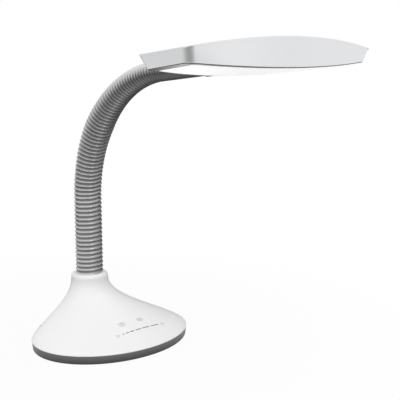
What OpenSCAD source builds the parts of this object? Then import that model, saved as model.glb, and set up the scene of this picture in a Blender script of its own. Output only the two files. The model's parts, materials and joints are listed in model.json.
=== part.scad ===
// Desk lamp: a lens-shaped light head on a ribbed gooseneck that stands in a weighted, flared base.
// Millimetres. +Z is up, -Y is the user's side, and the origin is on the desk under the neck.

/* [Base] */
// Width of the base across the desk
base_w = 183; // [160:1:210]
// Depth of the base from front to back
base_d = 146.5; // [130:0.5:165]
// Distance from the neck forward to the middle of the base
base_lead = 38.5; // [25:0.5:45]
// Height of the collar's top, where the neck starts
base_h = 69.5; // [62:0.5:85]
// Outside diameter of the collar
collar_d = 41.4; // [39:0.2:46]
// Rounding of the collar's top edge
collar_round = 4.5; // [1:0.25:5]
// Thickness of the collar's top, which carries the neck
collar_cap = 8; // [6:0.5:10]
// Wall of the base shell
shell_wall = 2; // [1.6:0.1:2.4]
// How long the flare stays upright above the rim
flare_rise = 1.3; // [1.2:0.05:1.6]
// How deeply the flare sweeps in towards the collar
flare_power = 2.4; // [2:0.05:3]
// Height of the seam between the skirt and the shell
skirt_top = 9.7; // [8:0.1:11]
// Step from the shell's rim in to the skirt
skirt_step = 0.4; // [0.2:0.1:1]
// How far the skirt leans in at its foot
skirt_lean = 0.8; // [0:0.1:2]
// Rounding of the skirt's lower edge
skirt_round = 0.9; // [0.4:0.1:1.6]
// Floor and wall of the skirt
skirt_wall = 2.4; // [2:0.1:3]
// Height of the rubber pad under the skirt
pad_h = 0.7; // [0.5:0.1:2]
// Margin from the skirt's side in to the pad
pad_margin = 7; // [5:0.5:12]
// Thickness of the ballast plate
ballast_t = 6; // [3:0.5:6]
// Gap round the ballast plate, inside the skirt
ballast_gap = 11; // [9:0.5:14]

/* [Controls] */
// Width of the control board
board_w = 66; // [56:1:72]
// Depth of the control board
board_d = 38; // [32:1:42]
// Thickness of the circuit boards
board_t = 1.6; // [1:0.2:2]
// Height of the posts that carry the control board above the floor
post_h = 8; // [7:0.5:10]
// Diameter of the board posts
post_d = 6; // [5:0.5:8]
// Thickness of the touch film under the shell
film_t = 0.6; // [0.4:0.1:1]
// Outside diameter of the power inlet's barrel
inlet_d = 8; // [7.5:0.5:9]
// Diameter of the hole that the plug goes in
inlet_hole_d = 5.7; // [5.5:0.1:6.5]
// Diameter of the inlet's contact pin
inlet_pin_d = 2.1; // [1.9:0.1:2.5]
// Length of the inlet's barrel
inlet_len = 14; // [12:0.5:18]
// Height of the inlet's axis above the desk
inlet_z = 15; // [14.5:0.5:17]
// Bearing of the inlet round the base, counted from the right side
inlet_bearing = 141; // [139:1:143]
// Depth of the inlet's face behind the shell's surface
inlet_recess = 5; // [4:0.5:6]

/* [Neck] */
// Diameter over the ribs, up to the taper
neck_d = 30; // [28:0.5:31]
// Diameter over the ribs at the head
neck_tip_d = 20; // [19:0.5:24]
// Length of the upright stretch above the collar
neck_straight = 86.5; // [60:0.5:140]
// Radius of the bend, on the neck's axis
neck_bend_r = 140; // [125:1:200]
// Angle of the bend
neck_bend = 84; // [60:1:90]
// Ribbed length beyond the bend
neck_reach = 66.5; // [40:0.5:100]
// Angle into the bend where the taper starts
taper_from = 35; // [0:1:50]
// Width of a rib
rib_w = 1.6; // [1.2:0.1:1.8]
// Length of a rib's flank
rib_flank = 0.4; // [0.2:0.05:0.6]
// Height of a rib above the groove
rib_h = 1.5; // [1:0.1:1.7]
// Step from the ribs in to the ball of each joint
ball_drop = 2.3; // [2:0.1:2.6]
// Running clearance between a ball and its cup
ball_clear = 0.3; // [0.2:0.05:0.4]
// Diameter of the passage for the lead
lead_bore_d = 7; // [6:0.25:7.5]
// Diameter of the lead inside the neck
lead_d = 3.6; // [3:0.2:4.2]

/* [Neck ends] */
// Diameter of the threaded stem in the base
stem_d = 16; // [14:0.5:18]
// Diameter of the stem in the head
tip_stem_d = 11; // [10:0.5:12]
// Length of each stem inside its link
stem_grip = 8; // [6:0.5:9]
// Clearance round the stems
stem_clear = 0.1; // [0.05:0.05:0.2]
// Width of the neck nut across its corners
nut_w = 27; // [25:0.5:28]
// Height of the neck nut
nut_h = 9; // [7:0.5:10]
// Diameter of the neck washer
washer_d = 29; // [28:0.5:30]
// Thickness of the neck washer
washer_t = 1.5; // [1:0.1:2.5]
// Diameter of the ferrule behind the head
ferrule_d = 22.6; // [21:0.2:23]
// Length of the ferrule
ferrule_len = 30; // [20:0.5:40]
// Chamfer on the ferrule's edge
ferrule_chamfer = 1.2; // [0.5:0.1:2]

/* [Head] */
// Width of the head at the front of its lower edge
head_w = 221; // [210:0.5:235]
// Width of the head at the rear of its lower edge
head_rear_w = 215; // [208:0.5:230]
// Depth of the head's ends
head_end_d = 53.5; // [52:0.5:66]
// Bulge of the front edge
front_bulge = 10.3; // [8:0.1:16]
// Bulge of the rear edge
rear_bulge = 10.4; // [6:0.1:13]
// Depth of the head's ends below the neck's axis
end_drop = 7.3; // [7:0.1:9]
// Height of the head's ends above the neck's axis
end_rise = 3.8; // [3.7:0.1:6]
// Dip of the lower edge at the middle
lower_dip = 5.4; // [5:0.1:8]
// Arch of the top at the middle
top_arch = 8.4; // [7.5:0.1:10]
// Outward flare of the front and rear walls at the top
wall_flare = 4.6; // [2:0.1:6]
// Outward flare of the end walls at the top
end_flare = 3.5; // [2:0.1:5]
// Rounding of the front corners
front_corner = 7; // [4:0.5:12]
// Rounding of the rear corners
rear_corner = 5; // [3:0.5:10]
// Wall of the head shell
head_wall = 2.2; // [1.8:0.1:2.4]
// Chamfer along the head's top edge
top_chamfer = 1.2; // [0.5:0.1:2]
// Height of the bezel that shows under the walls
bezel_h = 0.6; // [0.4:0.1:2]
// Width of the bezel along the front and rear
bezel_side = 4.2; // [4:0.1:6]
// Width of the bezel at the ends
bezel_end = 10.5; // [8:0.5:18]
// Height of the bezel's tongue inside the shell
tongue_h = 2.5; // [2:0.1:3]
// Clearance round the bezel's tongue and the diffuser
panel_clear = 0.2; // [0.1:0.05:0.3]
// Width of the ledge that carries the diffuser
ledge_w = 1; // [0.8:0.1:1.2]
// Thickness of the diffuser
diffuser_t = 2; // [1.5:0.1:2.2]
// Depth that the diffuser's belly stands below the bezel
belly_h = 0.7; // [0.5:0.1:3]
// Width of the belly's rounded edge
belly_w = 8; // [4:0.5:14]

/* [Light] */
// Width of the light board
led_board_w = 168; // [120:1:176]
// Depth of the light board
led_board_d = 34; // [28:1:36]
// Light chips along each row
led_columns = 14; // [8:1:18]
// Rows of light chips
led_rows = 2; // [1:1:3]
// Side of a light chip
led_w = 3.5; // [2.8:0.1:5]
// Height of a light chip
led_h = 0.8; // [0.6:0.1:1.2]
// Thickness of the heat spreader
spreader_t = 1.5; // [1:0.1:2]
// Diameter of the bosses that carry the heat spreader
boss_d = 6; // [5:0.5:7]
// Width of the block that clamps the stem in the head
socket_w = 30; // [24:1:36]
// Depth of the clamp block
socket_d = 15; // [12:0.5:16]
// Diameter of the screws' shanks
screw_d = 2.8; // [2.5:0.1:3]
// Diameter of the screws' heads
screw_head_d = 5.2; // [4.8:0.1:5.6]
// Height of the screws' heads
screw_head_h = 1.8; // [1.4:0.1:2]

/* [Hidden] */
link_count = 20;
ribs_per_link = 4;
base_steps = 60;
flare_steps = 18;
flare_bias = 1.5;
round_steps = 4;
edge_steps = 16;
corner_steps = 4;
$fn = 48;
overlap = 0.01;
seat = 0.05;
ferrule_gap = 0.15;

function link_name(i) = str("neck_link_", i < 10 ? "0" : "", i);

shell_white = "whitesmoke";
skirt_grey = "dimgray";
neck_grey = "gray";
steel = "silver";

// Base: every level of the shell is an ellipse between the rim and the round collar
collar_r = collar_d / 2;
flare_top = base_h - collar_round;
ceiling_z = base_h - collar_cap;
floor_z = pad_h + skirt_wall;
skirt_foot = skirt_step + skirt_lean;
board_z = floor_z + post_h;
board_back = 6;
board_mid = base_lead + board_d / 2 - board_back;
board_inset = 5;
board_corner = 2;

function flare(u) = pow(1 - pow(u, flare_rise), flare_power);
function level(z) = (z - skirt_top) / (flare_top - skirt_top);
function base_point(q, g, z, inset) = [
    (collar_r + (base_w / 2 - collar_r) * g - inset) * cos(q),
    (collar_r + (base_d / 2 - collar_r) * g - inset) * sin(q) - base_lead * g,
    z];
function base_ring(g, z, inset = 0) =
    [for (i = [0 : base_steps - 1]) base_point(360 * i / base_steps, g, z, inset)];

// A closed solid through a stack of rings that have the same, even number of points
module loft(rings, looped = false) {
    n = len(rings[0]);
    m = len(rings);
    last = (m - 1) * n;
    sides = [for (j = [0 : looped ? m - 1 : m - 2], i = [0 : n - 1])
        let (k = (i + 1) % n, up = (j + 1) % m * n, a = j * n + i, b = j * n + k, c = up + i, d = up + k)
        each [[a, d, b], [a, c, d]]];
    strips = [for (i = [0 : n / 2 - 2])
        let (a = i, b = i + 1, c = n - 2 - i, d = n - 1 - i)
        each [[a, b, c], [a, c, d], [last + a, last + c, last + b], [last + a, last + d, last + c]]];
    polyhedron([for (ring = rings, p = ring) p], looped ? sides : concat(sides, strips));
}

// A flat plate with round corners
module plate(w, d, t, r) {
    linear_extrude(t) {
        square([w - 2 * r, d], center = true);
        square([w, d - 2 * r], center = true);
        for (x = [-1, 1], y = [-1, 1])
            translate([x * (w / 2 - r), y * (d / 2 - r)])
                circle(r);
    }
}

// A screw whose head lies under z = 0, with its shank upwards
module screw(length) {
    translate([0, 0, -screw_head_h])
        cylinder(d = screw_head_d, h = screw_head_h);
    cylinder(d = screw_d, h = length);
}

module tube(d_out, d_in, h) {
    difference() {
        cylinder(d = d_out, h = h);
        translate([0, 0, -overlap])
            cylinder(d = d_in, h = h + 2 * overlap);
    }
}

// Places of the four bosses that join the skirt to the shell
base_boss_level = 20;
base_boss_inset = 8;
base_boss_turn = 45;
base_boss_d = 8;
base_screw_len = 10;
board_screw_len = 7;
screw_recess = 0.4;
screw_room = 1;
hole_clear = 1;
base_screw_seat = screw_head_h + screw_recess;
module at_base_screws() {
    for (q = [base_boss_turn, 180 - base_boss_turn, 180 + base_boss_turn, 360 - base_boss_turn])
        let (at = base_point(q, flare(level(base_boss_level)), 0, base_boss_inset))
            translate(at)
                children();
}

inlet_back = 3;
inlet_pin_short = 1;
module at_inlet() {
    rim = base_point(inlet_bearing, flare(level(inlet_z)), inlet_z, 0);
    turn = atan2(rim[1] + base_lead, rim[0]);
    translate(rim)
        rotate([0, 0, turn])
            rotate([0, 90, 0])
                children();
}

// The rings lie closer together near the rim. The inside is the outside moved in and down by the wall.
function ring_share(j) = pow(j / flare_steps, flare_bias);
function inside_point(i, j, inset) =
    let (z = skirt_top + (ceiling_z - skirt_top) * ring_share(j))
    base_point(360 * i / base_steps, flare(level(z + shell_wall)), z - inset, shell_wall + inset);

module base_shell() {
    inner = [for (j = [flare_steps : -1 : 0]) [for (i = [0 : base_steps - 1]) inside_point(i, j, 0)]];
    outer = [for (j = [0 : flare_steps])
        let (u = ring_share(j))
        base_ring(flare(u), skirt_top + (flare_top - skirt_top) * u)];
    crown = [for (j = [1 : round_steps])
        let (a = 90 * j / round_steps)
        base_ring(0, flare_top + collar_round * sin(a), collar_round * (1 - cos(a)))];
    boss_limit = concat([base_ring(1, floor_z, shell_wall)],
        [for (j = [1 : flare_steps / 2])
            let (u = ring_share(j))
            base_ring(flare(u), skirt_top + (flare_top - skirt_top) * u - shell_wall / 2, shell_wall / 2)]);
    color(shell_white)
        difference() {
            union() {
                loft(concat(inner, outer, crown));
                intersection() {
                    at_base_screws()
                        translate([0, 0, floor_z + seat])
                            cylinder(d = base_boss_d, h = base_h / 2);
                    loft(boss_limit);
                }
            }
            translate([0, 0, ceiling_z - overlap])
                cylinder(d = stem_d + 2 * stem_clear, h = collar_cap + 2 * overlap);
            at_inlet()
                translate([0, 0, -inlet_len])
                    cylinder(d = inlet_d + 2 * stem_clear, h = 2 * inlet_len);
            at_base_screws()
                cylinder(d = screw_d + 2 * stem_clear, h = base_screw_seat + base_screw_len + screw_room);
        }
}

module base_skirt() {
    edge = [for (j = [0 : round_steps])
        let (a = 90 * j / round_steps)
        base_ring(1, pad_h + skirt_round * (1 - cos(a)), skirt_foot + skirt_round * (1 - sin(a)))];
    side = [base_ring(1, skirt_top, skirt_step), base_ring(1, skirt_top, skirt_step + skirt_wall)];
    color(skirt_grey) {
        difference() {
            loft(concat(edge, side, [base_ring(1, floor_z, skirt_foot + skirt_wall)]));
            at_base_screws() {
                cylinder(d = screw_d + 2 * stem_clear, h = floor_z + overlap);
                cylinder(d = screw_head_d + 4 * stem_clear, h = base_screw_seat);
            }
        }
        at_board_posts()
            tube(post_d, screw_d + 2 * stem_clear, post_h);
    }
}

module at_board_posts() {
    for (x = [-1, 1], y = [-1, 1])
        translate([x * (board_w / 2 - board_inset), y * (board_d / 2 - board_inset) - board_mid, floor_z])
            children();
}

module base_pad() {
    rim = skirt_foot + pad_margin;
    color("darkslategray")
        difference() {
            loft([base_ring(1, 0, rim), base_ring(1, pad_h, rim)]);
            at_base_screws()
                translate([0, 0, -overlap])
                    cylinder(d = screw_head_d + hole_clear, h = pad_h + 2 * overlap);
        }
}

module ballast_plate() {
    rim = skirt_foot + skirt_wall + ballast_gap;
    color(steel)
        difference() {
            loft([base_ring(1, floor_z, rim), base_ring(1, floor_z + ballast_t, rim)]);
            at_board_posts()
                translate([0, 0, -overlap])
                    cylinder(d = post_d + 2 * hole_clear, h = ballast_t + 2 * overlap);
            at_base_screws()
                translate([0, 0, floor_z - overlap])
                    cylinder(d = base_boss_d + 2 * hole_clear, h = ballast_t + 2 * overlap);
        }
}

module base_screws() {
    color(steel)
        at_base_screws()
            translate([0, 0, base_screw_seat])
                screw(base_screw_len);
}

module control_board() {
    color("seagreen")
        difference() {
            translate([0, -board_mid, board_z])
                plate(board_w, board_d, board_t, board_corner);
            at_board_posts()
                cylinder(d = screw_d + 2 * stem_clear, h = post_h + board_t + overlap);
        }
}

module board_screws() {
    color(steel)
        at_board_posts()
            translate([0, 0, post_h + board_t])
                rotate([180, 0, 0])
                    screw(board_screw_len);
}

// Touch film that follows the shell's inside, under the marks
film_columns = [39, 51];
film_rows = [4, 10];

module touch_film() {
    color("orange")
        loft([for (i = [film_columns[0] : film_columns[1]])
            concat([for (j = [film_rows[0] : film_rows[1]]) inside_point(i, j, seat + film_t)],
                [for (j = [film_rows[1] : -1 : film_rows[0]]) inside_point(i, j, seat)])]);
}

module power_inlet() {
    depth = inlet_len - inlet_back;
    color("black")
        at_inlet()
            translate([0, 0, -inlet_recess - inlet_len]) {
                difference() {
                    cylinder(d = inlet_d, h = inlet_len);
                    translate([0, 0, inlet_len - depth])
                        cylinder(d = inlet_hole_d, h = depth + overlap);
                }
                cylinder(d = inlet_pin_d, h = inlet_len - inlet_pin_short);
            }
}

// Neck: an upright stretch, a bend towards the user, and a straight stretch to the head
neck_r = neck_d / 2;
tip_r = neck_tip_d / 2;
bend_len = neck_bend_r * neck_bend * PI / 180;
neck_len = neck_straight + bend_len + neck_reach;
taper_start = neck_straight + neck_bend_r * taper_from * PI / 180;
taper_end = neck_straight + bend_len;

function bend_at(s) = min(max(s - neck_straight, 0) / neck_bend_r * 180 / PI, neck_bend);
function neck_at(s) =
    let (a = bend_at(s), beyond = max(s - neck_straight - bend_len, 0))
    [neck_bend_r * (1 - cos(a)) + beyond * sin(a),
     base_h + min(s, neck_straight) + neck_bend_r * sin(a) + beyond * cos(a)];
function crest_r(s) =
    neck_r - (neck_r - tip_r) * min(max((s - taper_start) / (taper_end - taper_start), 0), 1);
function pivot(i) = neck_at(neck_len * i / link_count);
function link_span(i) = pivot(i) - pivot(i - 1);
function ball_r(i) = crest_r(neck_len * i / link_count) - ball_drop;

// Outline of a link's ribs, from its lower face to its upper face
function link_outline(i, low, high) =
    let (span = norm(link_span(i)), pitch = span / ribs_per_link, s0 = neck_len * (i - 1) / link_count)
    concat([[0, low], [crest_r(s0) - rib_h, low]],
        [for (k = [0 : ribs_per_link - 1])
            let (mid = (k + 0.5) * pitch, crest = crest_r(s0 + mid), h = rib_w / 2)
            each [[crest - rib_h, mid - h], [crest, mid - h + rib_flank],
                  [crest, mid + h - rib_flank], [crest - rib_h, mid + h]]],
        [[crest_r(s0 + span) - rib_h, high], [0, high]]);

module at_link(i) {
    span = link_span(i);
    translate([0, -pivot(i - 1)[0], pivot(i - 1)[1]])
        rotate([atan2(span[0], span[1]), 0, 0])
            children();
}

// Share of a ball's radius that is left above its middle
ball_share = 0.55;

// A link has a cup at its lower end and a ball at its upper end; the end links hold the stems instead
module neck_link(i) {
    first = i == 1;
    last = i == link_count;
    span = norm(link_span(i));
    rim = (span / ribs_per_link - rib_w) / 2;
    low = first ? seat : rim;
    high = last ? span - seat : span - rim;
    ball_top = ball_share * ball_r(i);
    color(neck_grey)
        at_link(i)
            difference() {
                union() {
                    rotate_extrude()
                        polygon(link_outline(i, low, high));
                    if (!last)
                        intersection() {
                            translate([0, 0, span])
                                sphere(ball_r(i));
                            translate([0, 0, span / 2])
                                cylinder(r = neck_r, h = span / 2 + ball_top);
                        }
                }
                if (first)
                    cylinder(d = stem_d + 2 * stem_clear, h = 2 * stem_grip, center = true);
                else
                    sphere(ball_r(i - 1) + ball_clear);
                if (last)
                    translate([0, 0, span])
                        cylinder(d = tip_stem_d + 2 * stem_clear, h = 2 * stem_grip, center = true);
                translate([0, 0, -span])
                    cylinder(d = lead_bore_d, h = 3 * span);
            }
}

// Thread that shows below the nut
stem_tail = 3;

module neck_stem() {
    below = collar_cap + washer_t + nut_h + stem_tail;
    color(steel)
        translate([0, 0, base_h - below])
            tube(stem_d, lead_bore_d, below + stem_grip - seat);
}

module neck_washer() {
    color(steel)
        translate([0, 0, ceiling_z - washer_t])
            tube(washer_d, stem_d + 2 * stem_clear, washer_t);
}

module neck_nut() {
    color(steel)
        translate([0, 0, ceiling_z - washer_t - nut_h])
            difference() {
                cylinder(d = nut_w, h = nut_h, $fn = 6);
                translate([0, 0, -overlap])
                    cylinder(d = stem_d + 2 * stem_clear, h = nut_h + 2 * overlap);
            }
}

// Lead from the control board up through the neck to the light board, as [forward, up] points
lead_foot = [[56, board_z + board_t + lead_d / 2 + seat], [44, 16], [30, 20], [16, 28], [6, 36], [1, 44]];
lead_sides = 8;

module neck_lead() {
    route = concat(lead_foot, [for (i = [0 : link_count]) pivot(i)], [head_point(led_rear - seat)]);
    count = len(route);
    function heading(j) =
        let (d = route[min(j + 1, count - 1)] - route[max(j - 1, 0)])
        atan2(d[0], d[1]);
    rings = [for (j = [0 : count - 1])
        let (a = heading(j))
        [for (k = [0 : lead_sides - 1])
            let (q = 360 * k / lead_sides, x = lead_d / 2 * cos(q), y = lead_d / 2 * sin(q))
            [x, -route[j][0] + y * cos(a), route[j][1] + y * sin(a)]]];
    color("dimgray")
        loft(rings);
}

// Head: its own frame starts where the neck's axis meets the rear wall, and runs on along that axis
head_tilt = 90 - neck_bend;
function head_point(t) = neck_at(neck_len + ferrule_len + t);
head_half = head_w / 2;
rear_half = head_rear_w / 2;
rear_t = rear_bulge + wall_flare / 2;
front_t = rear_t + head_end_d;
bezel_step = 0.5;
ledge_z = 0.2;
crown = [end_rise, top_arch, head_half + end_flare];
keel = [-end_drop, -lower_dip, head_half];

function lens(curve, w) = curve[0] + curve[1] * (1 - pow(w / curve[2], 2));
function head_edge(half, t0, bulge, corner, side) =
    let (flat = half - corner,
         arc = [for (j = [1 : corner_steps]) 90 * j / corner_steps],
         right = [for (a = arc) [flat + corner * sin(a), corner * (1 - cos(a))]],
         line = [for (j = [0 : edge_steps]) [flat * (2 * j / edge_steps - 1), 0]],
         left = [for (j = [corner_steps - 1 : -1 : 0]) [-right[j][0], right[j][1]]])
    [for (p = concat(left, line, right)) [p[0], t0 + side * (bulge * (1 - pow(p[0] / half, 2)) - p[1])]];

// Plan outline of the head, flared by a share of the walls' flare and drawn in at its ends and sides
function head_ring(share, end_in, side_in, curve, lift) =
    let (wide = end_flare * share - end_in, deep = wall_flare * share - side_in,
         front = head_edge(head_half + wide, front_t + deep, front_bulge, max(front_corner - end_in, 1), 1),
         rear = head_edge(rear_half + wide, rear_t - deep, rear_bulge, max(rear_corner - end_in, 1), -1),
         n = len(rear))
    [for (p = concat(front, [for (j = [n - 1 : -1 : 0]) rear[j]])) [p[0], -p[1], lens(curve, p[0]) + lift]];

module at_head() {
    translate([0, -head_point(0)[0], head_point(0)[1]])
        rotate([-head_tilt, 0, 0])
            children();
}

// Along the neck's axis in the head's frame, from t forwards
module along_axis(t) {
    translate([0, -t, 0])
        rotate([90, 0, 0])
            children();
}

led_rear = 28;
led_mid = led_rear + led_board_d / 2;
spreader_margin = 10;
spreader_w = led_board_w + 2 * spreader_margin;
spreader_top = 3.2;
led_board_top = spreader_top - spreader_t;
led_face = led_board_top - board_t;
spreader_screw_x = led_board_w / 2 + spreader_margin / 2;
spreader_screw_y = 10;
spreader_screw_len = spreader_t + screw_room;
socket_gap = 1;
socket_t = rear_t - rear_bulge + head_wall + socket_gap;
ear_w = 9;
ear_h = 3;
ear_root = 1;
ear_x = socket_w / 2 + ear_w / 2 - ear_root;
socket_screw_bite = 5;
socket_screw_len = ear_h + socket_screw_bite;
socket_h = 13;

module at_spreader_screws() {
    for (x = [-1, 1], y = [-1, 1])
        translate([x * spreader_screw_x, y * spreader_screw_y - led_mid, 0])
            children();
}

module at_socket_screws() {
    for (x = [-1, 1])
        translate([x * ear_x, -socket_t - socket_d / 2, 0])
            children();
}

// Height in the middle of the head's top wall, where the bosses end
function ceiling_at(w) = lens(crown, w) - head_wall / 2;

module head_shell() {
    color(shell_white)
        at_head()
            difference() {
                union() {
                    loft([head_ring(1, head_wall, head_wall, crown, -head_wall),
                        head_ring(0, head_wall, head_wall, keel, 0),
                        head_ring(0, 0, 0, keel, 0),
                        head_ring(1, 0, 0, crown, -top_chamfer),
                        head_ring(1, top_chamfer, top_chamfer, crown, 0)]);
                    at_spreader_screws()
                        translate([0, 0, spreader_top])
                            cylinder(d = boss_d, h = ceiling_at(spreader_screw_x) - spreader_top);
                    at_socket_screws()
                        cylinder(d = boss_d, h = ceiling_at(ear_x));
                }
                at_spreader_screws()
                    translate([0, 0, spreader_top - overlap])
                        cylinder(d = screw_d + 2 * stem_clear, h = screw_room + 2 * stem_clear);
                at_socket_screws()
                    translate([0, 0, -overlap])
                        cylinder(d = screw_d + 2 * stem_clear, h = socket_screw_bite + 2 * stem_clear);
                along_axis(-wall_flare)
                    cylinder(d = tip_stem_d + 2 * stem_clear, h = 2 * wall_flare + 2 * head_wall);
            }
}

module head_bezel() {
    tongue = head_wall + panel_clear;
    recess_end = bezel_end - ledge_w;
    recess_side = bezel_side - ledge_w;
    color(skirt_grey)
        at_head()
            loft([head_ring(0, bezel_step, bezel_step, keel, -bezel_h),
                head_ring(0, bezel_step, bezel_step, keel, -seat),
                head_ring(0, tongue, tongue, keel, -seat),
                head_ring(0, tongue, tongue, keel, tongue_h),
                head_ring(0, recess_end, recess_side, keel, tongue_h),
                head_ring(0, recess_end, recess_side, keel, ledge_z),
                head_ring(0, bezel_end, bezel_side, keel, ledge_z),
                head_ring(0, bezel_end, bezel_side, keel, -bezel_h)], looped = true);
}

// A dished panel: its flange lies on the bezel's ledge and its belly hangs through the opening
module diffuser() {
    flange_end = bezel_end - ledge_w + panel_clear;
    flange_side = bezel_side - ledge_w + panel_clear;
    flange_z = ledge_z + seat;
    dish_end = bezel_end + panel_clear;
    dish_side = bezel_side + panel_clear;
    function dish(inset, z) = head_ring(0, dish_end + inset, dish_side + inset, keel, z);
    belly = [for (j = [round_steps : -1 : 0])
        let (a = 90 * j / round_steps)
        dish(belly_w * (1 - cos(a)), -bezel_h - belly_h * sin(a))];
    color("white")
        at_head()
            loft(concat(belly, [dish(0, flange_z),
                head_ring(0, flange_end, flange_side, keel, flange_z),
                head_ring(0, flange_end, flange_side, keel, flange_z + diffuser_t),
                dish(diffuser_t, flange_z + diffuser_t),
                dish(belly_w, diffuser_t - bezel_h - belly_h)]));
}

module led_board() {
    color("honeydew")
        at_head()
            translate([0, -led_mid, led_face])
                plate(led_board_w, led_board_d, board_t, board_corner);
}

module led_chips() {
    color("gold")
        at_head()
            for (i = [0 : led_columns - 1], j = [0 : led_rows - 1])
                translate([(i - (led_columns - 1) / 2) * led_board_w / led_columns,
                        (j - (led_rows - 1) / 2) * led_board_d / led_rows - led_mid, led_face - led_h / 2])
                    cube([led_w, led_w, led_h], center = true);
}

module heat_spreader() {
    color("lightgray")
        at_head()
            difference() {
                translate([0, -led_mid, led_board_top])
                    plate(spreader_w, led_board_d, spreader_t, board_corner);
                at_spreader_screws()
                    cylinder(d = screw_d + 2 * stem_clear, h = spreader_top + overlap);
            }
}

module head_screws() {
    color(steel)
        at_head()
            at_spreader_screws()
                translate([0, 0, led_board_top])
                    screw(spreader_screw_len);
}

module head_socket() {
    color("darkgray")
        at_head()
            difference() {
                union() {
                    translate([-socket_w / 2, -socket_t - socket_d, -socket_h / 2])
                        cube([socket_w, socket_d, socket_h]);
                    at_socket_screws()
                        translate([-ear_w / 2, -socket_d / 2, -ear_h - seat])
                            cube([ear_w, socket_d, ear_h]);
                }
                along_axis(0)
                    cylinder(d = tip_stem_d + 2 * stem_clear, h = socket_t + socket_d + overlap);
                at_socket_screws()
                    translate([0, 0, -ear_h - seat - overlap])
                        cylinder(d = screw_d + 2 * stem_clear, h = ear_h + seat + 2 * overlap);
            }
}

module socket_screws() {
    color(steel)
        at_head()
            at_socket_screws()
                translate([0, 0, -ear_h - seat])
                    screw(socket_screw_len);
}

module head_stem() {
    color(steel)
        at_head()
            along_axis(-ferrule_len - stem_grip + seat)
                tube(tip_stem_d, lead_bore_d, ferrule_len + stem_grip + socket_t + socket_d);
}

module head_ferrule() {
    wall_top = end_rise + top_arch - top_chamfer;
    wall_foot = -end_drop - lower_dip;
    reach = ferrule_len + wall_flare;
    bore_r = tip_stem_d / 2 + stem_clear;
    edge_r = ferrule_d / 2;
    color(skirt_grey)
        at_head()
            difference() {
                along_axis(-ferrule_len)
                    rotate_extrude()
                        polygon([[bore_r, seat], [edge_r - ferrule_chamfer, seat], [edge_r, ferrule_chamfer],
                            [edge_r, reach], [bore_r, reach]]);
                translate([0, 0, (wall_top + wall_foot) / 2])
                    rotate([-atan2(wall_flare, wall_top - wall_foot), 0, 0])
                        translate([-ferrule_d, ferrule_gap - 2 * ferrule_d, -ferrule_d])
                            cube(2 * ferrule_d);
            }
}

base_shell();
base_skirt();
base_pad();
ballast_plate();
base_screws();
control_board();
board_screws();
touch_film();
power_inlet();
neck_stem();
neck_washer();
neck_nut();
neck_lead();
for (i = [1 : link_count])
    neck_link(i);
head_stem();
head_ferrule();
head_socket();
socket_screws();
head_shell();
head_bezel();
diffuser();
led_board();
led_chips();
heat_spreader();
head_screws();
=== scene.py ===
"""Desk lamp: a lens-shaped light head on a ribbed gooseneck over a flared, weighted base."""

import json
import math

import bmesh
import bpy
import numpy as np
from mathutils import Matrix, Vector


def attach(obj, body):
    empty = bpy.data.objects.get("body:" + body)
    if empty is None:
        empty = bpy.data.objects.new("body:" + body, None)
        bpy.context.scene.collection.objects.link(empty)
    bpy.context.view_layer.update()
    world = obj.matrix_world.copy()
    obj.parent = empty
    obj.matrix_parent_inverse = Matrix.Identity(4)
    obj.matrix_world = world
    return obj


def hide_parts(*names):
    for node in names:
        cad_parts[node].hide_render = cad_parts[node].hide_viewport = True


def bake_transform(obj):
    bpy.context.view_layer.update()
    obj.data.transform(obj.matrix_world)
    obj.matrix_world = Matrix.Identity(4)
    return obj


MM = 0.001
TURN = 2.0 * math.pi

# Sizes are in millimetres and angles in degrees, as in the part's source.

# Base: shell, skirt, pad, the inlet's hole and the screws' seats
BASE_W, BASE_D, BASE_LEAD, BASE_H = 183.0, 146.5, 38.5, 69.5
COLLAR_R, COLLAR_ROUND, COLLAR_CAP = 20.7, 4.5, 8.0
SHELL_WALL, RIM_ROUND = 2.0, 0.5
FLARE_RISE, FLARE_POWER, FLARE_TOP = 1.3, 2.4, BASE_H - COLLAR_ROUND
SKIRT_TOP, SKIRT_STEP, SKIRT_FOOT, SKIRT_ROUND, SKIRT_WALL = 9.7, 0.4, 1.2, 0.9, 2.4
SKIRT_LIP, PAD_H = 0.3, 0.7
INLET_HOLE_R, INLET_Z, INLET_BEARING, INLET_DRILL = 4.1, 15.0, 141.0, 24.0
SCREW_LEVEL, SCREW_INSET, SCREW_TURN, SCREW_SEAT_R, SCREW_SEAT = 20.0, 8.0, 45.0, 2.8, 2.2

# Neck: an upright, a bend and a reach, under a helical rib that closes up along the taper
LINK_COUNT = 20
NECK_R, TIP_R = 15.0, 10.0
UPRIGHT, BEND_R, BEND, REACH, TAPER_FROM = 86.5, 140.0, 84.0, 66.5, 35.0
BEND_LEN = BEND_R * math.radians(BEND)
NECK_LEN = UPRIGHT + BEND_LEN + REACH
LINK_LEN = NECK_LEN / LINK_COUNT
TAPER_START = UPRIGHT + BEND_R * math.radians(TAPER_FROM)
TAPER_END = UPRIGHT + BEND_LEN
RIB_PITCH, TIP_PITCH, RIB_DEPTH, RIB_BLUNT = 4.79, 3.95, 1.6, 0.7
SLEEVE_SKIN, SLEEVE_GAP, SLEEVE_STEP, SLEEVE_SIDES = 0.35, 0.05, 0.38, 73
# Share of a link, on each side of a joint, at which each stretch's two ends are paired with their bodies;
# the pairs are not used
BLEND_SPAN = 0.46
# Joints whose pair of ends is listed from the far link back.
BLENDED_BACK = (4, 5, 9)
FERRULE_LEN, FERRULE_R, FERRULE_BORE, FERRULE_SEAT = 30.0, 11.3, 5.6, 1.0
# Round of the ferrule's rear end: how far in from its side, and how far along
FERRULE_NOSE = ((1.4, SLEEVE_GAP), (0.5, 0.35), (0.0, 1.3))

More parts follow.
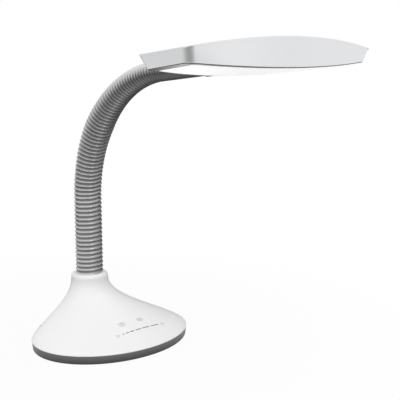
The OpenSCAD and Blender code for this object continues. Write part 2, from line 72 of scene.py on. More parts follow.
# Head: shell, bezel and diffuser
HEAD_W, HEAD_REAR_W, HEAD_END_D = 221.0, 215.0, 53.5
FRONT_BULGE, REAR_BULGE = 10.3, 10.4
END_DROP, END_RISE, LOWER_DIP, TOP_ARCH = 7.3, 3.8, 5.4, 8.4
WALL_FLARE, END_FLARE, FRONT_CORNER, REAR_CORNER, LEAST_CORNER = 4.6, 3.5, 7.0, 5.0, 1.0
HEAD_WALL, INNER_EDGE, TOP_EDGE = 2.2, 0.3, 1.2
BEZEL_H, BEZEL_STEP, BEZEL_SIDE, BEZEL_END, BEZEL_EDGE = 0.6, 0.5, 4.2, 10.5, 0.2
TONGUE_H, LEDGE_W, LEDGE_Z, PANEL_CLEAR, SEAT_GAP = 2.5, 1.0, 0.2, 0.2, 0.05
DIFFUSER_T, BELLY_H, BELLY_W = 2.0, 0.7, 8.0
REAR_T = REAR_BULGE + WALL_FLARE / 2
FRONT_T = REAR_T + HEAD_END_D
# Height at the ends, rise to the middle and half width of the head's upper and lower edges
CROWN = (END_RISE, TOP_ARCH, HEAD_W / 2 + END_FLARE)
KEEL = (-END_DROP, -LOWER_DIP, HEAD_W / 2)
# Round of the wall's lower edge, from under it to its side: share of the flare, inset and lift
LOWER_ROLL = ((0.0, 0.35, 0.0), (0.0, 0.1, 0.12), (0.02, 0.0, 0.4))

# Touch marks, in plan on the front of the shell: dashes from x to x, suns at x with the reach of their rays
SLIDER_BOW, SLIDER_SLANT, SLIDER_Y = 0.00095, 0.0174, -84.5
DASHES = ((-18.8, -17.0), (-14.5, -10.8), (-9.0, -3.7), (-1.5, 5.6), (7.5, 17.4), (20.1, 30.7))
SUNS = ((-24.9, 2.5), (37.0, 3.1))
POWER_SPOT, MODE_SPOT = (-9.8, -71.2), (15.0, -70.8)
DASH_W, SUN_LINE, RAY_LINE, BUTTON_LINE, POWER_LINE, MODE_LINE = 1.25, 0.45, 0.4, 0.5, 0.65, 0.55
SUN_R, RAY_FROM, BUTTON_R, POWER_R, MODE_HALF = 1.25, 1.8, 4.0, 1.9, 2.1
SIGN_SQUASH, BUTTON_SQUASH = 0.8, 0.65
INK_LIFT, INK_T, MARKS_Z, MARKS_FALL = 0.01, 0.06, 120.0, 200.0

# Studio, in metres: tones are pairs of a bearing in degrees and a level
CARD_STEPS = 60
CORNER_TONES = ((100, 0.69), (150, 0.7), (175, 0.57), (200, 0.38), (228, 0.3), (250, 0.31), (270, 0.43),
                (284, 0.54), (292, 0.68), (300, 0.87), (307, 0.95), (318, 0.86), (332, 0.84))
NECK_TONES = ((190, 0.45), (240, 0.45), (252, 0.6), (258, 1.0), (264, 0.7), (272, 0.3), (285, 0.15),
              (300, 0.08), (410, 0.03))
FLOOR_HALF, FLOOR_Z, FLOOR_GREY = 6.0, -0.0004, 0.34
SKY_FILL = 0.55
LAMPS = {"left": ((-1.25, 0.3, 1.0), 5.5, 0.8), "top": ((0.45, -0.45, 1.5), 7.5, 0.9),
         "front": ((-0.7, -1.15, 1.0), 6.5, 0.45)}
LAMP_AIM = (0.0, -0.1, 0.15)
EYE, EYE_TILT, EYE_TURN, LENS, SENSOR = (-0.5146, -0.7345, 0.3084), 79.99, -43.04, 72.67, 36.0


class Value:
    """A value in a node tree: arithmetic on it adds Math nodes."""

    def __init__(self, tree, socket):
        self.tree, self.socket = tree, socket

    def math(self, operation, *terms):
        return self.tree.node("ShaderNodeMath", {"operation": operation}, dict(enumerate(terms)))

    def __add__(self, other):
        return self.math("ADD", self, other)

    def __sub__(self, other):
        return self.math("SUBTRACT", self, other)

    def __mul__(self, other):
        return self.math("MULTIPLY", self, other)

    def __truediv__(self, other):
        return self.math("DIVIDE", self, other)

    def __pow__(self, other):
        return self.math("POWER", self, other)

    def __radd__(self, other):
        return self.math("ADD", other, self)

    def __rsub__(self, other):
        return self.math("SUBTRACT", other, self)

    def __rmul__(self, other):
        return self.math("MULTIPLY", other, self)

    def at_least(self, low):
        return self.math("MAXIMUM", self, low)

    def at_most(self, high):
        return self.math("MINIMUM", self, high)

    def share(self):
        return self.at_least(0.0).at_most(1.0)

    def sin(self):
        return self.math("SINE", self)

    def cos(self):
        return self.math("COSINE", self)

    def log(self):
        return self.math("LOGARITHM", self, math.e)


class Tree:
    """A shader or geometry node tree that is filled through one method."""

    def __init__(self, tree):
        self.tree = tree

    def node(self, kind, settings=None, inputs=None, out=0):
        """Adds a node and gives its output, or a list of outputs where out is a tuple."""
        made = self.tree.nodes.new(kind)
        for name, value in (settings or {}).items():
            setattr(made, name, value)
        for name, value in (inputs or {}).items():
            socket = made.inputs[name]
            if isinstance(value, Value):
                self.tree.links.new(value.socket, socket)
            elif isinstance(value, tuple) and len(value) == 3 and socket.type == "RGBA":
                socket.default_value = (*value, 1.0)
            else:
                socket.default_value = value
        if isinstance(out, tuple):
            return [Value(self, made.outputs[key]) for key in out]
        return Value(self, made.outputs[out]) if made.outputs else made

    def blend(self, factor, first, second):
        return self.node("ShaderNodeMix", {"data_type": "RGBA"}, {0: factor, 6: first, 7: second}, out=2)

    def vector(self, x, y, z):
        return self.node("ShaderNodeCombineXYZ", None, {0: x, 1: y, 2: z})

    def scaled(self, vector, factor):
        return self.node("ShaderNodeVectorMath", {"operation": "SCALE"}, {0: vector, "Scale": factor})


class Finish(Tree):
    """One procedural material, on the piece's own object coordinates."""

    def __init__(self, name):
        self.material = bpy.data.materials.new(name)
        self.material.use_nodes = True
        self.material.node_tree.nodes.clear()
        super().__init__(self.material.node_tree)
        self.place = self.node("ShaderNodeTexCoord", out=3)

    def noise(self, size_mm, detail=3.0, stretch=(1.0, 1.0, 1.0)):
        place = self.node("ShaderNodeMapping", None, {0: self.place, 3: stretch})
        scale = 1.0 / (size_mm * MM)
        return self.node("ShaderNodeTexNoise", None, {"Vector": place, "Scale": scale, "Detail": detail})

    def attribute(self, name):
        return self.node("ShaderNodeAttribute", {"attribute_name": name}, out=2)

    def bump(self, height, depth_mm, strength=1.0):
        return self.node("ShaderNodeBump", None,
                         {"Height": height, "Strength": strength, "Distance": depth_mm * MM})

    def glow_over(self, factor, colour, strength=1.0):
        """Closes a stage material: plain paint of one colour, with white light mixed over it."""
        paint = self.node("ShaderNodeBsdfDiffuse", None, {"Color": colour})
        white = self.node("ShaderNodeEmission", None, {"Color": (1.0, 1.0, 1.0), "Strength": strength})
        mixed = self.node("ShaderNodeMixShader", None, {0: factor, 1: paint, 2: white})
        self.node("ShaderNodeOutputMaterial", None, {0: mixed})
        return self.material

    def close(self, **sockets):
        """Closes the material with a Principled shader, whose inputs are given by name."""
        names = {key.replace("_", " ").title().replace("Ior", "IOR"): value
                 for key, value in sockets.items()}
        shader = self.node("ShaderNodeBsdfPrincipled", None, names)
        self.node("ShaderNodeOutputMaterial", None, {0: shader})
        return self.material


class Maker(Tree):
    """A Geometry Nodes group, with its inputs at hand by name."""

    def __init__(self, name, sizes, counts=None, objects=()):
        super().__init__(bpy.data.node_groups.new(name, "GeometryNodeTree"))
        for key, size in sizes.items():
            self.add(key, "Float").default_value = size
        for key, count in (counts or {}).items():
            self.add(key, "Int").default_value = count
        for key in objects:
            self.add(key, "Object")
        self.add("Finish", "Material")
        self.add("Made", "Geometry", "OUTPUT")
        entry = self.tree.nodes.new("NodeGroupInput")
        self.given = {socket.name: Value(self, socket) for socket in entry.outputs if socket.name}

    def add(self, name, kind, way="INPUT"):
        return self.tree.interface.new_socket(name, in_out=way, socket_type="NodeSocket" + kind)

    def close(self, shape, weld):
        """Welds and dresses the shape, and makes it the group's result."""
        joined = self.node("GeometryNodeMergeByDistance", None, {"Geometry": shape, "Distance": weld})
        real = self.node("GeometryNodeRealizeInstances", None, {"Geometry": joined})
        dressed = self.node("GeometryNodeSetMaterial", None,
                            {"Geometry": real, "Material": self.given["Finish"]})
        leave = self.tree.nodes.new("NodeGroupOutput")
        self.tree.links.new(dressed.socket, leave.inputs[0])
        return self.tree


def moulded_plastic(name, colour, shade, roughness, grain_mm, grain_depth_mm, metal=0.0, shine=0.5):
    """Moulded plastic or satin paint: a slow drift of tone, a fine grain and uneven gloss."""
    finish = Finish(name)
    drift = finish.noise(38.0, 2.0)
    grain = finish.noise(grain_mm, 2.0)
    wipe = finish.noise(14.0, 4.0, (1.0, 2.5, 1.0))
    tone = finish.blend(drift * 0.7 + grain * 0.3, shade, colour)
    gloss = roughness + (wipe - 0.5) * 0.06 + (grain - 0.5) * 0.06
    return finish.close(base_color=tone, metallic=metal, roughness=gloss, specular_ior_level=shine,
                        normal=finish.bump(grain, grain_depth_mm, 0.6))


def skirt_plastic(name, colour, foot, top):
    """Grey moulded skirt, with painted shade that darkens it towards the table it stands on."""
    finish = Finish(name)
    height = finish.node("ShaderNodeSeparateXYZ", None, {0: finish.place}, out=2)
    grain = finish.noise(0.6, 2.0)
    wipe = finish.noise(14.0, 4.0, (1.0, 2.5, 1.0))
    # Painted shade: the tone darkens from the skirt's top down to the foot colour at the table
    rise = (height / (top * MM)).share()
    tone = finish.blend(rise * 0.9 + grain * 0.1, foot, colour)
    return finish.close(base_color=tone, roughness=0.42 + (wipe - 0.5) * 0.06, specular_ior_level=0.3,
                        normal=finish.bump(grain, 0.03, 0.6))


def sleeve_plastic(name, colour, groove_shade_and_dust, crest, deep):
    """Soft ribbed sleeve: painted shade in its grooves, a painted highlight on its polished crests, drifts
    of dust, painted light on top of its bend and painted shade beneath it.
    """
    finish = Finish(name)
    rib, lee, crown = (finish.attribute(key) for key in ("rib", "lee", "crown"))
    fleck = finish.noise(1.1, 3.0)
    drift = finish.noise(22.0, 2.0)
    # Painted shade: the rib's grooves take the dark groove colour
    body = finish.blend(rib, groove_shade_and_dust, colour)
    # Painted highlight: the tops of the crests take the pale crest colour
    shade_and_crest_highlight = finish.blend((rib - 0.62).at_least(0.0) * 1.6, body, crest)
    # Dust: random drifts towards the groove colour
    dusty = finish.blend((drift - 0.35).at_least(0.0) * 0.25, shade_and_crest_highlight, groove_shade_and_dust)
    # Painted light: the top of the bend turns towards the pale crest colour
    bright = finish.blend(crown * 0.75, dusty, crest)
    # Painted shade: beneath the bend and reach the tone falls to the dark deep colour
    tone = finish.blend(lee * 0.9, bright, deep)
    gloss = 0.42 - rib * 0.2 + (fleck - 0.5) * 0.08
    return finish.close(base_color=tone, metallic=0.6, roughness=gloss,
                        normal=finish.bump(fleck, 0.05, 0.4))


def brushed_metal(name, colour, roughness, line_mm):
    """Turned or rolled metal: fine lines, with a little stain."""
    finish = Finish(name)
    lines = finish.noise(line_mm, 2.0, (0.15, 1.0, 1.0))
    stain = finish.noise(9.0, 3.0)
    dull = tuple(0.7 * c for c in colour)
    tone = finish.blend(stain * 0.5 + lines * 0.4, colour, dull)
    return finish.close(base_color=tone, metallic=1.0, roughness=roughness + (lines - 0.5) * 0.2,
                        normal=finish.bump(lines, 0.02, 0.5))


def circuit_board(name, mask, trace):
    """Solder mask over copper: faint traces show through it."""
    finish = Finish(name)
    cells = finish.node("ShaderNodeTexVoronoi", {"feature": "DISTANCE_TO_EDGE"},
                        {"Vector": finish.place, "Scale": 260.0})
    line = 1 - (cells * 6).at_most(1.0)
    fleck = finish.noise(0.8)
    tone = finish.blend(line * 0.7 + fleck * 0.15, mask, trace)
    return finish.close(base_color=tone, roughness=0.35 + fleck * 0.15, normal=finish.bump(line, 0.03))


def frosted_panel(name, colour, glow, strength):
    """Frosted diffuser: a fine sanded face that passes an even light."""
    finish = Finish(name)
    sand = finish.noise(0.5, 2.0)
    drift = finish.noise(45.0, 2.0)
    tone = finish.blend(drift * 0.25 + sand * 0.1, colour, tuple(0.94 * c for c in colour))
    light = finish.blend(drift * 0.3, glow, tuple(0.96 * c for c in glow))
    return finish.close(base_color=tone, roughness=0.5 + (sand - 0.5) * 0.2, emission_color=light,
                        emission_strength=strength, normal=finish.bump(sand, 0.02, 0.4))


def printed_ink(name, colour):
    """Pad-printed ink, a little uneven in its cover."""
    finish = Finish(name)
    cover = finish.noise(0.7, 3.0)
    tone = finish.blend(cover * 0.3, colour, tuple(min(1.0, 1.35 * c) for c in colour))
    return finish.close(base_color=tone, roughness=0.5 + cover * 0.15, normal=finish.bump(cover, 0.01, 0.3))


# Finishes by the part's material slots
FINISHES = {
    "shell_white": moulded_plastic("shell_white", (0.87, 0.87, 0.875), (0.84, 0.84, 0.845),
                                   0.36, 0.7, 0.02),
    "head_white": moulded_plastic("head_silver", (0.8, 0.805, 0.815), (0.77, 0.775, 0.785), 0.22, 0.5, 0.01,
                                  metal=0.9),
    # Skirt colours: grey, and a dark foot colour for painted shade towards the table
    "skirt_grey": skirt_plastic("skirt_grey", (0.21, 0.212, 0.215), (0.025, 0.025, 0.026), SKIRT_TOP),
    "ferrule_grey": moulded_plastic("ferrule_grey", (0.07, 0.07, 0.072), (0.055, 0.055, 0.057),
                                    0.42, 0.6, 0.03),
    "pad_rubber": moulded_plastic("pad_rubber", (0.05, 0.05, 0.05), (0.035, 0.035, 0.035), 0.8, 0.9, 0.08),
    "ballast_iron": brushed_metal("ballast_iron", (0.2, 0.2, 0.205), 0.6, 1.4),
    "steel": brushed_metal("zinc_steel", (0.58, 0.58, 0.57), 0.34, 0.4),
    "board_green": circuit_board("board_green", (0.02, 0.16, 0.06), (0.05, 0.3, 0.12)),
    "board_white": circuit_board("board_white", (0.8, 0.82, 0.8), (0.68, 0.71, 0.68)),
    "film_amber": moulded_plastic("film_amber", (0.62, 0.33, 0.07), (0.55, 0.28, 0.05), 0.25, 1.5, 0.01),
    "inlet_black": moulded_plastic("inlet_black", (0.018, 0.018, 0.018), (0.012, 0.012, 0.012),
                                   0.5, 0.5, 0.02),
    "lead_rubber": moulded_plastic("lead_rubber", (0.06, 0.06, 0.06), (0.045, 0.045, 0.045),
                                   0.6, 0.5, 0.02),
    "diffuser_white": frosted_panel("diffuser_white", (0.88, 0.88, 0.88), (1.0, 1.0, 1.0), 0.55),
    "chip_yellow": moulded_plastic("chip_yellow", (0.85, 0.7, 0.12), (0.8, 0.62, 0.08), 0.25, 0.4, 0.01),
    "spreader_alu": brushed_metal("spreader_alu", (0.74, 0.74, 0.75), 0.4, 0.5),
    # Sleeve colours: body, groove (painted shade and dust), crest (painted highlight and painted light on
    # top of the bend), and deep (painted shade beneath the bend)
    "neck_sleeve": sleeve_plastic("neck_sleeve", (0.5, 0.503, 0.508), (0.18, 0.18, 0.182),
                                  (0.76, 0.764, 0.77), (0.05, 0.05, 0.052)),
}
BEZEL_GREY = moulded_plastic("bezel_grey", (0.06, 0.061, 0.063), (0.048, 0.049, 0.05), 0.25, 0.6, 0.02,
                             shine=1.0)
MARK_INK = printed_ink("mark_ink", (0.2, 0.2, 0.205))
ICON_INK = printed_ink("icon_ink", (0.42, 0.42, 0.425))


def shown(name, data):
    """An object in the scene for a mesh, a light or a camera."""
    made = bpy.data.objects.new(name, data)
    bpy.context.scene.collection.objects.link(made)
    return made


def piece(name, mesh, slot, body, *nodes, finish=None):
    """A finished mesh that rides on a body and stands for CAD nodes."""
    made = shown(name, mesh)
    mesh.materials.clear()
    mesh.materials.append(finish or FINISHES[slot])
    if nodes:
        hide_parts(*nodes)
    if body:
        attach(made, body)
    return made


def evaluated(holder):
    """A plain mesh of what the object's modifiers make."""
    bpy.context.view_layer.update()
    graph = bpy.context.evaluated_depsgraph_get()
    return bpy.data.meshes.new_from_object(holder.evaluated_get(graph), depsgraph=graph)


def smoothed(mesh, sharp):
    """The mesh with smooth shading, and edges that turn by more than an angle left sharp."""
    mesh.shade_smooth()
    mesh.set_sharp_from_angle(angle=math.radians(sharp))
    return mesh


def quarter(count, first=0.0, last=90.0):
    """Sine and cosine at even steps round an edge."""
    return [(math.sin(a), math.cos(a)) for a in np.radians(np.linspace(first, last, count))]


def loft_mesh(name, rings, looped=False, sharp=40.0):
    """Smooth skin through rings of the same even count; open ends close with strips across the ring."""
    rings = [np.asarray(ring, float) * MM for ring in rings]
    count, points = len(rings), len(rings[0])
    faces = []
    for j in range(count if looped else count - 1):
        low, high = j * points, (j + 1) % count * points
        for i in range(points):
            k = (i + 1) % points
            faces.append((low + i, low + k, high + k, high + i))
    if not looped:
        last = (count - 1) * points
        for i in range(points // 2 - 1):
            a, b, c, d = i, i + 1, points - 2 - i, points - 1 - i
            faces.append((d, c, b, a))
            faces.append((last + a, last + b, last + c, last + d))
    mesh = bpy.data.meshes.new(name)
    mesh.from_pydata([tuple(p) for ring in rings for p in ring], [], faces)
    mesh.validate()
    return smoothed(mesh, sharp)


def drilled(mesh, holes, sharp):
    """The mesh with round holes: each has a middle, a direction, a radius and a length in millimetres."""
    work = bmesh.new()
    for spot, axis, radius, length in holes:
        aim = Vector(axis).to_track_quat("Z", "Y").to_matrix().to_4x4()
        bmesh.ops.create_cone(work, cap_ends=True, segments=48, radius1=radius * MM, radius2=radius * MM,
                              depth=length * MM, matrix=Matrix.Translation(Vector(spot) * MM) @ aim)
    bits = bpy.data.meshes.new("drill")
    work.to_mesh(bits)
    work.free()
    drill, holder = shown("drill", bits), shown("drilled", mesh)
    cut = holder.modifiers.new("cut", "BOOLEAN")
    cut.object, cut.operation, cut.solver = drill, "DIFFERENCE", "EXACT"
    made = evaluated(holder)
    for one in (drill, holder):
        bpy.data.objects.remove(one)
    return smoothed(made, sharp)


def flare(z):
    """Share of the way from the collar's outline to the rim's, at one height."""
    u = np.clip((z - SKIRT_TOP) / (FLARE_TOP - SKIRT_TOP), 0.0, 1.0)
    return float((1.0 - u ** FLARE_RISE) ** FLARE_POWER)


def base_points(share, z, inset, turn):
    """Points at bearings on one level of the base, whose outline goes from the collar (0) to the rim."""
    x = (COLLAR_R + (BASE_W / 2 - COLLAR_R) * share - inset) * np.cos(turn)
    y = (COLLAR_R + (BASE_D / 2 - COLLAR_R) * share - inset) * np.sin(turn) - BASE_LEAD * share
    return np.stack([x, y, np.full_like(x, z)], -1)


def base_ring(share, z, inset, count=192):
    """A whole level of the base."""
    return base_points(share, z, inset, TURN * np.arange(count) / count)


def base_shell():
    """White shell from its rolled rim up the flare to the collar, with the inlet's round hole."""
    inside = np.linspace(BASE_H - COLLAR_CAP, SKIRT_TOP, 40)
    rings = [base_ring(flare(z + SHELL_WALL), z, SHELL_WALL) for z in inside]
    for sine, cosine in quarter(5):
        z = SKIRT_TOP + RIM_ROUND * (1 - cosine)
        rings.append(base_ring(flare(z), z, RIM_ROUND * (1 - sine)))
    for u in np.linspace(0.03, 1.0, 80) ** 1.3:
        z = SKIRT_TOP + RIM_ROUND + (FLARE_TOP - SKIRT_TOP - RIM_ROUND) * u
        rings.append(base_ring(flare(z), z, 0.0))
    for sine, cosine in quarter(9, first=10.0):
        rings.append(base_ring(0.0, FLARE_TOP + COLLAR_ROUND * sine, COLLAR_ROUND * (1 - cosine)))
    spot = base_points(flare(INLET_Z), INLET_Z, 0.0, np.float64(math.radians(INLET_BEARING)))
    hole = (spot, (spot[0], spot[1] + BASE_LEAD, 0.0), INLET_HOLE_R, INLET_DRILL)
    return drilled(loft_mesh("base_shell_skin", rings), [hole], 60.0)


def base_skirt():
    """Grey tray with a soft lower edge, a shadow line under the shell's rim and seats for its screws."""
    rings = [base_ring(1.0, PAD_H + SKIRT_ROUND * (1 - cosine), SKIRT_FOOT + SKIRT_ROUND * (1 - sine))
             for sine, cosine in quarter(9)]
    rings += [base_ring(1.0, SKIRT_TOP - SKIRT_LIP, SKIRT_STEP),
              base_ring(1.0, SKIRT_TOP, SKIRT_STEP + SKIRT_LIP),
              base_ring(1.0, SKIRT_TOP, SKIRT_STEP + SKIRT_WALL),
              base_ring(1.0, PAD_H + SKIRT_WALL, SKIRT_FOOT + SKIRT_WALL)]
    seats = []
    for a in (SCREW_TURN, 180.0 - SCREW_TURN, 180.0 + SCREW_TURN, 360.0 - SCREW_TURN):
        spot = base_points(flare(SCREW_LEVEL), 0.0, SCREW_INSET, np.float64(math.radians(a)))
        seats.append((spot, (0.0, 0.0, 1.0), SCREW_SEAT_R, 2 * SCREW_SEAT))
    return drilled(loft_mesh("base_skirt_skin", rings), seats, 40.0)


def neck_at(s):
    """The neck's axis at length s: how far forward, how high, and its lean from upright."""
    lean = min(max(s - UPRIGHT, 0.0) / BEND_R, math.radians(BEND))
    beyond = max(s - TAPER_END, 0.0)
    forward = BEND_R * (1 - math.cos(lean)) + beyond * math.sin(lean)
    height = BASE_H + min(s, UPRIGHT) + BEND_R * math.sin(lean) + beyond * math.cos(lean)
    return forward, height, lean


def head_edge(half, t0, bulge, corner, side, stations=96, turns=12):
    """One long edge of the head in plan, from end to end: bowed, with a round corner at each end."""
    flat = half - corner
    arc = np.radians(np.linspace(0.0, 90.0, turns + 1)[1:])
    right = np.stack([flat + corner * np.sin(arc), corner * (1 - np.cos(arc))], 1)
    line = np.stack([flat * np.linspace(-1.0, 1.0, stations + 1), np.zeros(stations + 1)], 1)
    left = right[::-1] * [-1.0, 1.0]
    plan = np.concatenate([left, line, right])
    return np.stack([plan[:, 0], t0 + side * (bulge * (1 - (plan[:, 0] / half) ** 2) - plan[:, 1])], 1)


def head_ring(share, end_in, side_in, curve, lift):
    """Plan outline of the head at one level, in the lamp's frame."""
    wide, deep = END_FLARE * share - end_in, WALL_FLARE * share - side_in
    front_corner, rear_corner = (max(radius - end_in, LEAST_CORNER)
                                 for radius in (FRONT_CORNER, REAR_CORNER))
    front = head_edge(HEAD_W / 2 + wide, FRONT_T + deep, FRONT_BULGE, front_corner, 1)
    rear = head_edge(HEAD_REAR_W / 2 + wide, REAR_T - deep, REAR_BULGE, rear_corner, -1)
    plan = np.concatenate([front, rear[::-1]])
    w, t = plan[:, 0], plan[:, 1]
    at_ends, to_middle, half = curve
    up = at_ends + to_middle * (1 - (w / half) ** 2) + lift
    forward, height, lean = neck_at(NECK_LEN + FERRULE_LEN)
    return np.stack([w, -(forward + t * math.sin(lean) - up * math.cos(lean)),
                     height + t * math.cos(lean) + up * math.sin(lean)], 1)


def keel_ring(end_in, side_in, lift):
    """A ring along the head's lower edge, set in from its ends and its sides."""
    return head_ring(0.0, end_in, side_in, KEEL, lift)


def head_between(rise):
    """A ring part of the way up the wall: rise 0 is the lower edge, 1 the upper edge."""
    low, high = (head_ring(rise, 0.0, 0.0, curve, 0.0) for curve in (KEEL, CROWN))
    return low + (high - low) * rise


def head_shell():
    """Silver head: flared walls, a soft arris along the top, and a rolled lower edge."""
    inner = HEAD_WALL - INNER_EDGE
    rings = [head_ring(1.0, HEAD_WALL, HEAD_WALL, CROWN, -HEAD_WALL),
             keel_ring(HEAD_WALL, HEAD_WALL, INNER_EDGE), keel_ring(inner, inner, 0.0)]
    rings += [head_ring(share, inset, inset, KEEL, lift) for share, inset, lift in LOWER_ROLL]
    rings += [head_between(rise) for rise in np.linspace(0.1, 0.9, 9)]
    for sine, cosine in quarter(7):
        inset = TOP_EDGE * (1 - cosine)
        rings.append(head_ring(1.0, inset, inset, CROWN, TOP_EDGE * (sine - 1)))
    return loft_mesh("head_shell_skin", rings, sharp=50.0)


def head_bezel():
    """Grey frame: its flange shows under the walls and round the diffuser."""
    tongue, edge = HEAD_WALL + PANEL_CLEAR, BEZEL_EDGE
    ledge_end, ledge_side = BEZEL_END - LEDGE_W, BEZEL_SIDE - LEDGE_W
    rings = [keel_ring(BEZEL_STEP + edge, BEZEL_STEP + edge, -BEZEL_H),
             keel_ring(BEZEL_STEP, BEZEL_STEP, edge - BEZEL_H),
             keel_ring(BEZEL_STEP, BEZEL_STEP, -SEAT_GAP), keel_ring(tongue, tongue, -SEAT_GAP),
             keel_ring(tongue, tongue, TONGUE_H), keel_ring(ledge_end, ledge_side, TONGUE_H),
             keel_ring(ledge_end, ledge_side, LEDGE_Z), keel_ring(BEZEL_END, BEZEL_SIDE, LEDGE_Z),
             keel_ring(BEZEL_END, BEZEL_SIDE, edge - BEZEL_H),
             keel_ring(BEZEL_END - edge, BEZEL_SIDE - edge, -BEZEL_H)]
    return loft_mesh("head_bezel_skin", rings, looped=True)


def dish_ring(inset, lift):
    """A ring of the diffuser's dish, set in from the bezel's opening."""
    return keel_ring(BEZEL_END + PANEL_CLEAR + inset, BEZEL_SIDE + PANEL_CLEAR + inset, lift)


def diffuser():
    """White dished panel: its flange lies on the bezel's ledge and its belly hangs through the opening."""
    flange_end, flange_side = BEZEL_END - LEDGE_W + PANEL_CLEAR, BEZEL_SIDE - LEDGE_W + PANEL_CLEAR
    flange = LEDGE_Z + SEAT_GAP
    rings = [dish_ring(BELLY_W * (1 - cosine), -BEZEL_H - BELLY_H * sine)
             for sine, cosine in quarter(13, first=90.0, last=0.0)]
    rings += [dish_ring(0.0, flange), keel_ring(flange_end, flange_side, flange),
              keel_ring(flange_end, flange_side, flange + DIFFUSER_T),
              dish_ring(DIFFUSER_T, flange + DIFFUSER_T),
              dish_ring(BELLY_W, DIFFUSER_T - BEZEL_H - BELLY_H)]
    return loft_mesh("diffuser_skin", rings)


def head_ferrule():
    """Dark collar between the sleeve and the head, run a little way into the rear wall."""
    sides = 96
    turn = TURN * np.arange(sides) / sides
    seat = FERRULE_LEN + FERRULE_SEAT
    profile = [(FERRULE_BORE, SLEEVE_GAP)]
    profile += [(FERRULE_R - inset, along) for inset, along in FERRULE_NOSE]
    profile += [(FERRULE_R, along) for along in (8.0, 16.0, 24.0, seat)]
    profile.append((FERRULE_BORE, seat))
    rings = []
    for radius, along in profile:
        forward, height, lean = neck_at(NECK_LEN + along)
        x, out = radius * np.cos(turn), radius * np.sin(turn)
        rings.append(np.stack([x, -forward + out * math.cos(lean), height + out * math.sin(lean)], 1))
    return loft_mesh("head_ferrule_skin", rings)


def sleeve_tree():
    """Geometry Nodes for the ribbed sleeve: a helical rib wound along the neck's own line.

    Start, End and Rings are set for each stretch.
    """
    tree = Maker("ribbed_sleeve", {
        "Start": 0.0, "End": LINK_LEN, "Foot height": BASE_H,
        "Upright": UPRIGHT, "Bend radius": BEND_R, "Bend": math.radians(BEND),
        "Taper start": TAPER_START, "Taper end": TAPER_END,
        "Crest radius": NECK_R + SLEEVE_SKIN, "Tip radius": TIP_R + SLEEVE_SKIN,
        "Rib pitch": RIB_PITCH, "Tip pitch": TIP_PITCH, "Rib depth": RIB_DEPTH,
    }, counts={"Rings": 48, "Sides": SLEEVE_SIDES})
    given = tree.given
    upright, bend_r, bend = given["Upright"], given["Bend radius"], given["Bend"]
    taper_start, taper_end = given["Taper start"], given["Taper end"]
    pitch, tip_pitch = given["Rib pitch"], given["Tip pitch"]
    grid = tree.node("GeometryNodeMeshGrid", None, {
        "Size X": 1.0, "Size Y": 1.0, "Vertices X": given["Rings"], "Vertices Y": given["Sides"]})
    place = tree.node("GeometryNodeInputPosition")
    along, around = tree.node("ShaderNodeSeparateXYZ", None, {0: place}, out=(0, 1))
    s = given["Start"] + (along + 0.5) * (given["End"] - given["Start"])
    turn = (around + 0.5) * TURN

    # The neck's line at s
    lean = ((s - upright).at_least(0.0) / bend_r).at_most(bend)
    beyond = (s - (upright + bend_r * bend)).at_least(0.0)
    forward = bend_r * (1 - lean.cos()) + beyond * lean.sin()
    height = given["Foot height"] + s.at_most(upright) + bend_r * lean.sin() + beyond * lean.cos()

    # The rib there, whose turns are counted from the foot
    taper_len = taper_end - taper_start
    taper = ((s - taper_start) / taper_len).share()
    crest = given["Crest radius"] - (given["Crest radius"] - given["Tip radius"]) * taper
    closing = (pitch - tip_pitch) / taper_len
    pitch_here = pitch - (pitch - tip_pitch) * taper
    turns = (s.at_most(taper_start) / pitch + (pitch / pitch_here).log() / closing
             + (s - taper_end).at_least(0.0) / tip_pitch)
    rib = (0.5 - 0.5 * (turns * TURN - turn).cos()) ** RIB_BLUNT
    radius = crest - given["Rib depth"] * (1 - rib)
    out = radius * turn.sin()
    spot = tree.vector(radius * turn.cos(), out * lean.cos() - forward, height + out * lean.sin())

    # Tones for the finish: painted shade beneath the bend, and painted light on top of it
    leaning = (lean / bend) ** 0.8
    # Painted shade: strongest on the underside and inner side, growing along the bend
    lee = (0.5 - turn.sin() * 2.2).share() * leaning
    # Painted light: strongest on the top side, growing along the bend
    crown = (turn.sin() * 2.0 - 0.3).share() * leaning
    marked = grid
    for name, value in {"rib": rib, "lee": lee, "crown": crown}.items():
        marked = tree.node("GeometryNodeStoreNamedAttribute", {"data_type": "FLOAT", "domain": "POINT"},
                           {"Geometry": marked, "Name": name, "Value": value})
    wound = tree.node("GeometryNodeSetPosition", None,
                      {"Geometry": marked, "Position": tree.scaled(spot, MM)})
    return tree.close(wound, weld=1e-5)


def grown(name, group, settings):
    """The plain mesh that a Geometry Nodes group makes with these inputs."""
    holder = shown(name, bpy.data.meshes.new(name + "_seed"))
    maker = holder.modifiers.new("grow", "NODES")
    maker.node_group = group
    keys = {item.name: item.identifier for item in group.interface.items_tree if item.in_out == "INPUT"}
    for key, value in settings.items():
        maker[keys[key]] = value
    mesh = evaluated(holder)
    mesh.name = name
    bpy.data.objects.remove(holder)
    return mesh


def outward(mesh):
    """Open ends closed and faces turned outwards, with smooth shading."""
    work = bmesh.new()
    work.from_mesh(mesh)
    bmesh.ops.holes_fill(work, edges=[e for e in work.edges if e.is_boundary], sides=0)
    bmesh.ops.recalc_face_normals(work, faces=work.faces)
    work.to_mesh(mesh)
    work.free()
    return smoothed(mesh, 65.0)


def body_of(link):
    """The body that a neck link belongs to: the first is fixed in the base, the last in the head."""
    return "base" if link == 1 else "head" if link == LINK_COUNT else f"neck_{link:02d}"


def at_axis(s):
    """A point on the neck's axis, in metres."""
    forward, height, _ = neck_at(s)
    return (0.0, -forward * MM, height * MM)


